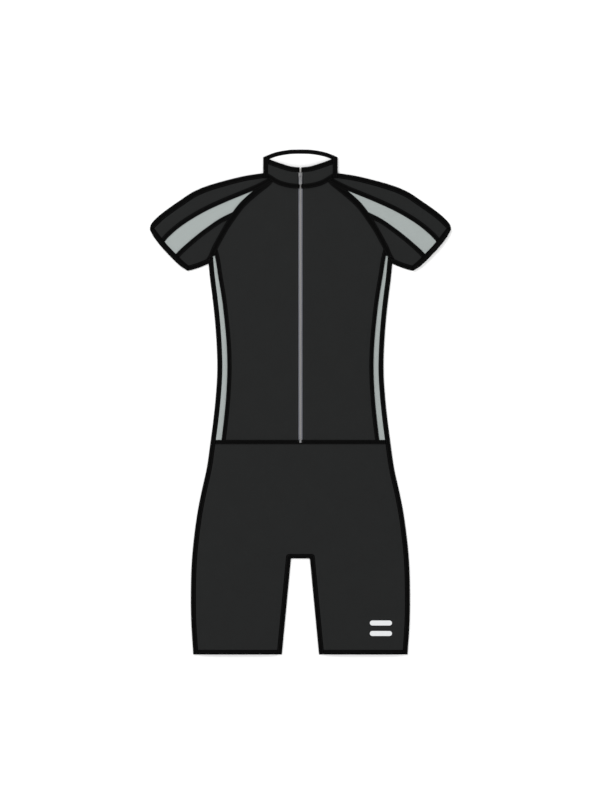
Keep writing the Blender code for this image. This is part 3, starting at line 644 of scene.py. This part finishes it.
def plan_spots(rim, normal, grid, radius):
    """Points that fill a rim, and for each the spot where the form's height is read.

    The rim comes first, then the rings where the edge is rounded, then an even field. The heights
    near the rim are read further inside, where the form is sure to be.
    """
    reach = max(READ_INSIDE, radius)
    spots, seeds = [rim], [rim + normal * reach]
    for share in RING_SHARES:
        inset = share * radius
        ring = rim + normal * inset
        kept = inside_of(rim, ring) & (edge_distance(ring, rim) > RING_CLEAR * inset)
        spots.append(ring[kept])
        seeds.append((rim + normal * max(reach, inset))[kept])
    low, high = rim.min(0), rim.max(0)
    rows = np.arange(low[1], high[1], grid * GRID_ROW_SHARE)
    columns = np.arange(low[0] - grid, high[0] + grid, grid)
    field = np.array([(x + grid / 2 * (i % 2), y) for i, y in enumerate(rows) for x in columns])
    field = field[inside_of(rim, field)]
    if len(field):
        clear = RING_SHARES[-1] * radius + GRID_CLEAR_SHARE * min(grid, RIM_STEP)
        field = field[edge_distance(field, rim) > clear]
    return np.vstack([*spots, field]), np.vstack([*seeds, field])


def cloth_mesh(name, node, grid, rounding, lift=0, waves=0, puckered=0, turn=None, step=RIM_STEP):
    """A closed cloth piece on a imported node's outline, between its upper and its lower side.

    rounding is the radius at the top and the bottom edge, and lift moves the whole piece. waves and
    puckered are shares of the full relief. The piece is grown a little beyond its outline, so that
    it meets the pieces beside it.
    """
    form = joined(node)
    outline = top_outline(form)
    tree = BVHTree.FromBMesh(form)
    form.free()
    rim = divided(outline, step)
    normal = inward(rim)
    rim = rim - normal * CLOTH_GROWS
    spots, seeds = plan_spots(rim, normal, grid, max(rounding))
    plan, _, triangles, source, *_ = delaunay_2d_cdt(
        [Vector(p) for p in spots], [], [list(range(len(rim)))], 1, SHORTEST)
    seeds = np.array([seeds[ids[0]] if ids else plan[i][:] for i, ids in enumerate(source)])
    plan = np.array(plan)
    count = len(plan)
    directed = {pair for t in triangles for pair in zip(t, (*t[1:], t[0]))}
    sides = np.array(sorted({tuple(sorted(pair)) for pair in directed}))
    top, bottom = (smoothed(ray_heights(tree, seeds, up), sides) for up in (False, True))
    distance = edge_distance(plan, rim)
    swell = waves * wave(plan)
    if puckered:
        swell = swell - puckered * puckers(plan, distance)
    rounded = [r - np.sqrt(np.maximum(r**2 - np.clip(r - distance, 0, r) ** 2, 0)) for r in rounding]
    top = top + lift + swell - rounded[0]
    bottom = bottom + lift + swell + rounded[1]
    points = np.vstack([np.column_stack([plan, top]), np.column_stack([plan, bottom])])
    faces = [list(t) for t in triangles] + [[i + count for i in reversed(t)] for t in triangles]
    faces += [[b, a, a + count, b + count] for a, b in sorted(directed) if (b, a) not in directed]
    mesh = bpy.data.meshes.new(name)
    mesh.from_pydata(points.tolist(), [], faces)
    mesh.shade_smooth()
    set_grain(mesh, outline, turn)
    return mesh, outline


def smoothed(values, sides):
    """The values, each drawn towards those of its neighbours."""
    for _ in range(HEIGHT_SMOOTHING):
        total, count = np.zeros(len(values)), np.zeros(len(values))
        for a, b in (sides.T, sides.T[::-1]):
            np.add.at(total, a, values[b])
            np.add.at(count, a, 1)
        values = 0.5 * values + 0.5 * total / np.maximum(count, 1)
    return values


def set_grain(mesh, outline, turn):
    """Keeps the cloth's own coordinates: a panel's are turned, and a strip's follow its long side."""
    plan = np.array([v.co[:2] for v in mesh.vertices])
    if turn is None:
        rail = rails_of(outline)[0]
        across, along = nearest_on(plan, rail[:-1], rail[1:])
    else:
        c, s = math.cos(math.radians(turn)), math.sin(math.radians(turn))
        across, along = plan[:, 0] * c + plan[:, 1] * s, plan[:, 1] * c - plan[:, 0] * s
    attribute = mesh.attributes.new("grain", "FLOAT_VECTOR", "POINT")
    values = np.column_stack([across, along, np.zeros(len(plan))]).astype(np.float32)
    attribute.data.foreach_set("vector", values.ravel())


def shown(mesh, name, finish, body="garment", stands_for=()):
    """A mesh as a piece that rides on a body and takes the material of a finish."""
    piece = bpy.data.objects.new(name, mesh)
    bpy.context.scene.collection.objects.link(piece)
    mesh.materials.clear()
    mesh.materials.append(MATERIALS.get(finish) or THREADS[finish])
    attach(piece, body)
    if stands_for:
        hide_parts(*stands_for)
    return piece


def oriented_box(outline):
    """The width and length of the smallest box round an outline."""
    best = None
    for turn in BOX_TURNS:
        c, s = math.cos(turn), math.sin(turn)
        u, v = outline[:, 0] * c + outline[:, 1] * s, outline[:, 1] * c - outline[:, 0] * s
        sides = sorted((np.ptp(u), np.ptp(v)))
        if best is None or sides[0] * sides[1] < best[0] * best[1]:
            best = sides
    return best


def declare(node):
    """Works out how large a piece of cloth is: its width and length, and its area unless it is a
    narrow strip. The values are not used further.
    """
    width, length = oriented_box(outlines[node])
    area = flat_area(outlines[node])
    if area < NARROW_SHARE * width * length:
        length = max(length_of(rail) for rail in rails_of(outlines[node]))
        width, area = area / length, None


made, outlines = {}, {}


def make_cloth(node, finish, grid, rounding, **how):
    """Makes a node's finer cloth, which takes its place, and keeps its outline."""
    mesh, outlines[node] = cloth_mesh(f"{node}_cloth", node, grid, rounding, **how)
    made[node] = shown(mesh, f"{node}_cloth", finish, stands_for=[node])


def make_back(node, turn):
    make_cloth(node, "charcoal_knit", BACK_GRID, PANEL_ROUNDING, turn=turn)


def make_front(node, finish, turn):
    make_cloth(node, finish, PANEL_GRID, PANEL_ROUNDING, waves=1, puckered=1, turn=turn)


def make_collar(node, finish, puckered):
    make_cloth(node, finish, PANEL_GRID, PANEL_ROUNDING, puckered=puckered, turn=ACROSS)


for node in ("body_back", "shorts_back", "collar_back"):
    make_back(node, UPRIGHT)
for side in SIDES:
    make_back(f"sleeve_back_{side}", SLEEVE_TURN[side])
    make_front(f"sleeve_top_{side}", "charcoal_knit", SLEEVE_TURN[side])
    make_front(f"sleeve_under_{side}", "charcoal_knit", SLEEVE_TURN[side])
    make_front(f"sleeve_stripe_{side}", "grey_knit", SLEEVE_TURN[side])
    make_front(f"body_front_{side}", "charcoal_knit", UPRIGHT)
    make_front(f"side_stripe_{side}", "grey_knit", UPRIGHT)
    make_collar(f"collar_front_{side}", "charcoal_knit", COLLAR_PUCKERS)
make_front("shorts_front", "charcoal_knit", UPRIGHT)
make_collar("collar_facing", "white_facing", FACING_PUCKERS)

for node in [*(node for name in TAPES for node in both(name)), "waist_tape"]:
    make_cloth(node, "black_tape", STRIP_GRID, TAPE_ROUNDING, lift=-TAPE_SETTLES, waves=1)
for node in [*(node for name in SEAMS for node in both(name)), "inseam"]:
    make_cloth(node, "black_tape", STRIP_GRID, EDGE_ROUNDING)
for node in (*both("collar_binding"), "collar_binding_back"):
    make_cloth(node, "black_tape", STRIP_GRID, BINDING_ROUNDING)
for node in both("zip_tape"):
    make_cloth(node, "zip_tape", STRIP_GRID, ZIP_TAPE_ROUNDING)


def bevelled(node, offset, grown=0.0):
    """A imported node's form with its sharp edges rounded. It can be grown in plan first."""
    form = joined(node)
    if grown:
        rim = divided(top_outline(form), BAND_STEP)
        normal = inward(rim)
        for vert in form.verts:
            nearest = np.linalg.norm(rim - vert.co[:2], axis=1).argmin()
            vert.co.xy -= Vector(normal[nearest] * grown)
    sharp = [e for e in form.edges if len(e.link_faces) == 2 and e.calc_face_angle(0) > CORNER_TURN]
    bmesh.ops.bevel(form, geom=sharp, offset=offset, offset_type="OFFSET", segments=BEVEL_STEPS,
                    profile=0.5, affect="EDGES", clamp_overlap=True)
    mesh = bpy.data.meshes.new(node)
    form.to_mesh(mesh)
    form.free()
    mesh.shade_smooth()
    mesh.set_sharp_from_angle(angle=CORNER_TURN)
    return mesh


for name in ("cuff", "leg_hem"):
    for node in both(name):
        outlines[node] = top_outline(joined(node))
        mesh = bevelled(node, HEM_BEVEL, CLOTH_GROWS)
        set_grain(mesh, outlines[node], None)
        made[node] = shown(mesh, f"{node}_cloth", "black_tape", stands_for=[node])
for node in ("reflector_lower", "reflector_upper"):
    mesh, _ = cloth_mesh(f"{node}_film", node, STRIP_GRID, FILM_ROUNDING, lift=-FILM_SETTLES,
                         waves=1, turn=UPRIGHT, step=FILM_STEP)
    shown(mesh, f"{node}_film", "reflective", stands_for=[node])
for node, body in (("zip_slider", "garment"), ("zip_pull", "pull_tab")):
    shown(bevelled(node, METAL_BEVEL), f"{node}_metal", "slider_metal", body, [node])

for node in ("body_back", "shorts_back"):
    declare(node)
declare("collar_back")
declare("collar_facing")
declare("shorts_front")
for side in SIDES:
    declare(f"sleeve_back_{side}")
    declare(f"sleeve_top_{side}")
    declare(f"sleeve_under_{side}")
    declare(f"sleeve_stripe_{side}")
    declare(f"body_front_{side}")
    declare(f"side_stripe_{side}")
    declare(f"collar_front_{side}")
    declare(f"zip_tape_{side}")


# Geometry node groups
class Group:
    """A geometry node group with named inputs."""

    def __init__(self, name, inputs):
        self.tree = bpy.data.node_groups.new(name, "GeometryNodeTree")
        face = self.tree.interface
        face.new_socket("Geometry", in_out="OUTPUT", socket_type="NodeSocketGeometry")
        face.new_socket("Geometry", in_out="INPUT", socket_type="NodeSocketGeometry")
        for key, kind in inputs.items():
            face.new_socket(key, in_out="INPUT", socket_type=kind)
        self.source = self.tree.nodes.new("NodeGroupInput")
        self.end = self.tree.nodes.new("NodeGroupOutput")

    def given(self, name):
        return self.source.outputs[name]

    def add(self, kind, settings=None, **inputs):
        """A node with these settings and inputs. Its first output comes back."""
        node = self.tree.nodes.new(kind)
        for key, value in (settings or {}).items():
            setattr(node, key, value)
        for key, value in inputs.items():
            socket = node.inputs[key.replace("_", " ")]
            if hasattr(value, "is_linked"):
                self.tree.links.new(value, socket)
            else:
                socket.default_value = value
        return node.outputs[0]

    def finish(self, geometry):
        """The group's result: real faces with their finish."""
        real = self.add("GeometryNodeRealizeInstances", Geometry=geometry)
        smooth = self.add("GeometryNodeSetShadeSmooth", Geometry=real)
        last = self.add("GeometryNodeSetMaterial", Geometry=smooth, Material=self.given("Material"))
        self.tree.links.new(last, self.end.inputs[0])
        return self.tree

    def spread(self, form, size):
        """The form on evenly spaced points of the given paths, pointing along them."""
        curve = self.add("GeometryNodeMeshToCurve", Mesh=self.given("Geometry"))
        even = self.add("GeometryNodeResampleCurve", {"mode": "LENGTH"}, Curve=curve,
                        Length=self.given("Pitch"))
        along = self.add("GeometryNodeInputTangent")
        turned = self.add("FunctionNodeAlignRotationToVector", {"axis": "X"}, Vector=along)
        return self.add("GeometryNodeInstanceOnPoints", Points=even, Instance=form, Rotation=turned,
                        Scale=size)


def stitch_group():
    """Short rounded threads, one after another."""
    group = Group("stitch_row", {"Pitch": "NodeSocketFloat", "Size": "NodeSocketVector",
                                 "Material": "NodeSocketMaterial"})
    bead = group.add("GeometryNodeMeshUVSphere", Segments=STITCH_SIDES, Rings=STITCH_RINGS, Radius=0.5)
    return group.finish(group.spread(bead, group.given("Size")))


def tooth_group():
    """Moulded teeth: a foot on the tape and a wider head that reaches past the middle."""
    group = Group("tooth_row", {"Pitch": "NodeSocketFloat", "Foot": "NodeSocketVector",
                                "Head": "NodeSocketVector", "Head Shift": "NodeSocketVector",
                                "Material": "NodeSocketMaterial"})
    foot = group.add("GeometryNodeMeshCube", Size=group.given("Foot"))
    head = group.add("GeometryNodeMeshCube", Size=group.given("Head"))
    head = group.add("GeometryNodeTransform", Geometry=head, Translation=group.given("Head Shift"))
    joined_up = group.tree.nodes.new("GeometryNodeJoinGeometry")
    for part in (foot, head):
        group.tree.links.new(part, joined_up.inputs[0])
    rounded = group.add("GeometryNodeSubdivisionSurface", Mesh=joined_up.outputs[0],
                        Level=TOOTH_SMOOTHING, Edge_Crease=TOOTH_CREASE)
    return group.finish(group.spread(rounded, (1.0, 1.0, 1.0)))


def from_paths(name, paths, tree, values, finish):
    """A piece that a node group makes along some paths."""
    mesh = bpy.data.meshes.new(name)
    points, edges = [], []
    for path in paths:
        first = len(points)
        points += [tuple(p) for p in path]
        edges += [(first + i, first + i + 1) for i in range(len(path) - 1)]
    mesh.from_pydata(points, edges, [])
    holder = bpy.data.objects.new(name, mesh)
    bpy.context.scene.collection.objects.link(holder)
    change = holder.modifiers.new("rows", "NODES")
    change.node_group = tree
    keys = {item.name: item.identifier for item in tree.interface.items_tree
            if item.item_type == "SOCKET" and item.in_out == "INPUT"}
    material = MATERIALS.get(finish) or THREADS[finish]
    for key, value in {**values, "Material": material}.items():
        change[keys[key]] = value
    bpy.context.view_layer.update()
    seen = holder.evaluated_get(bpy.context.evaluated_depsgraph_get())
    result = bpy.data.meshes.new_from_object(seen)
    bpy.data.objects.remove(holder)
    result.name = name
    return shown(result, name, finish)


# Sewing
piece_trees = {}


def laid_on(node, line, sink=STITCH_SINK, under=False):
    """The line laid on a made piece, or under it."""
    if node not in piece_trees:
        form = bmesh.new()
        form.from_mesh(made[node].data)
        piece_trees[node] = BVHTree.FromBMesh(form)
        form.free()
    heights = ray_heights(piece_trees[node], line, under)
    return np.column_stack([line, heights + (sink if under else -sink)])


def edge_rows(node, inset):
    """Rows of sewing beside both long sides of a strip."""
    return [laid_on(node, row_beside(rail, inset)) for rail in rails_of(outlines[node])]


def inner_rows(node):
    """Rows of sewing beside the long side of a hem that is nearer the garment's middle."""
    rail = min(rails_of(outlines[node]), key=lambda r: np.linalg.norm(r, axis=1).mean())
    return [laid_on(node, row_beside(rail, inset)) for inset in HEM_INSETS]


def row_under(node):
    """A row of sewing round the underside of a back panel, beside its seams."""
    rim = divided(outlines[node], RIM_STEP)
    ring = rim + inward(rim) * EDGE_INSET
    ring = ring[edge_distance(ring, rim) > UNDER_ROW_CLEAR * EDGE_INSET]
    return laid_on(node, np.vstack([ring, ring[:1]]), under=True)


stitches = stitch_group()


def sew(name, rows, colour="black", pitch=STITCH_PITCH, size=STITCH_SIZE):
    """Stitches in that thread along some rows."""
    from_paths(name, rows, stitches, {"Pitch": pitch, "Size": size}, colour)


for side in SIDES:
    rows = []
    for name in TAPES:
        rows += edge_rows(f"{name}_{side}", TAPE_INSET)
    sew(f"tape_stitches_{side}", rows)
    rows = []
    for name in SEAMS:
        rows += edge_rows(f"{name}_{side}", EDGE_INSET)
    sew(f"edge_stitches_{side}", rows)
    rows = inner_rows(f"cuff_{side}") + inner_rows(f"leg_hem_{side}")
    rows += edge_rows(f"collar_binding_{side}", BINDING_INSET)
    sew(f"hem_stitches_{side}", rows)
sew("waist_stitches", edge_rows("waist_tape", TAPE_INSET))
sew("inseam_stitches", edge_rows("inseam", EDGE_INSET))
sew("back_neck_stitches", edge_rows("collar_binding_back", BINDING_INSET))
back_panels = ["body_back", "shorts_back", "collar_back", *both("sleeve_back")]
sew("back_seam_stitches", [row_under(node) for node in back_panels], "charcoal")
zip_rows = []
for side, sign in (("left", 1), ("right", -1)):
    for name, foot, top in ZIP_ROWS:
        line = np.array([(sign * ZIP_ROW_OUT, y) for y in np.arange(foot, top, ROW_STEP)])
        zip_rows.append(laid_on(f"{name}_{side}", line))
sew("zip_stitches", zip_rows, "charcoal")
bartacks = []
for start in (ZIP_HALF, -ZIP_HALF - BARTACK_LONG):
    places = np.linspace(start, start + BARTACK_LONG, BARTACK_POINTS)
    line = np.array([(x, WAIST_Y + BARTACK_UP) for x in places])
    bartacks.append(laid_on("waist_tape", line, 0))
sew("zip_bartacks", bartacks, "black", BARTACK_PITCH, BARTACK_SIZE)


# Zip teeth
chain = joined("zip_chain")
chain_tree = BVHTree.FromBMesh(chain)
chain.free()


def chain_height(y):
    """The height of the chain's top, just beside the middle."""
    return chain_tree.ray_cast(Vector((MM, y, 1.0)), Vector((0, 0, -1)))[0].z


tooth_paths = []
for sign, start in ((1, TOOTH_START), (-1, TOOTH_START + TOOTH_PITCH / 2)):
    ys = np.arange(CHAIN_FOOT_Y + start, SLIDER_FOOT_Y - TOOTH_END, TOOTH_PITCH)
    path = [(sign * TOOTH_OUT, y, chain_height(y) - TOOTH_SINK) for y in ys]
    tooth_paths.append(path[::sign])
tooth_sizes = {"Pitch": TOOTH_PITCH, "Foot": TOOTH_FOOT, "Head": TOOTH_HEAD,
               "Head Shift": (0, TOOTH_HEAD_IN, 0)}
teeth = from_paths("zip_teeth_rows", tooth_paths, tooth_group(), tooth_sizes, "zip_teeth")
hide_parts("zip_chain")
shown(bevelled("zip_stop", STOP_BEVEL), "zip_top_stop", "zip_teeth", stands_for=["zip_stop"])
shown(bevelled("zip_foot_stop", STOP_BEVEL), "zip_bottom_stop", "slider_metal",
      stands_for=["zip_foot_stop"])


# The table, the light and the camera
def floor_material():
    looks = Looks("studio_table", roughness=0.9, shine=0.0)
    looks.shader.inputs["Base Color"].default_value = FLOOR_TONE
    looks.shader.inputs["Emission Color"].default_value = WHITE
    looks.shader.inputs["Emission Strength"].default_value = FLOOR_GLOW
    return looks.material


floor_mesh = bpy.data.meshes.new("floor")
floor_corners = [(x * FLOOR_HALF, y * FLOOR_HALF, -FLOOR_DROP) for x, y in FLOOR_CORNERS]
floor_mesh.from_pydata(floor_corners, [], [(0, 1, 2, 3)])
floor_mesh.materials.append(floor_material())
floor = bpy.data.objects.new("floor", floor_mesh)
bpy.context.scene.collection.objects.link(floor)

world = bpy.data.worlds.new("studio")
world.use_nodes = True
background = world.node_tree.nodes["Background"]
background.inputs["Color"].default_value = WHITE
background.inputs["Strength"].default_value = ROOM_LIGHT
bpy.context.scene.world = world


def softbox(name, place, size, power):
    """A large soft lamp that faces the garment."""
    light = bpy.data.lights.new(name, "AREA")
    light.shape = "DISK"
    light.size = size
    light.energy = power
    lamp = bpy.data.objects.new(name, light)
    turn = (-Vector(place)).to_track_quat("-Z", "Y")
    lamp.matrix_world = Matrix.Translation(place) @ turn.to_matrix().to_4x4()
    bpy.context.scene.collection.objects.link(lamp)


softbox("key_light", KEY_PLACE, KEY_SIZE, KEY_POWER)
softbox("fill_light", FILL_PLACE, FILL_SIZE, FILL_POWER)

camera_data = bpy.data.cameras.new("camera")
camera_data.lens = LENS
camera_data.sensor_width = SENSOR
camera_data.clip_end = FAR_LIMIT
camera = bpy.data.objects.new("camera", camera_data)
camera.location = (*PICTURE_MIDDLE, AIM_HEIGHT + PICTURE_SPAN * LENS / SENSOR)
bpy.context.scene.collection.objects.link(camera)
bpy.context.scene.camera = camera
bpy.context.scene.view_settings.view_transform = "Standard"
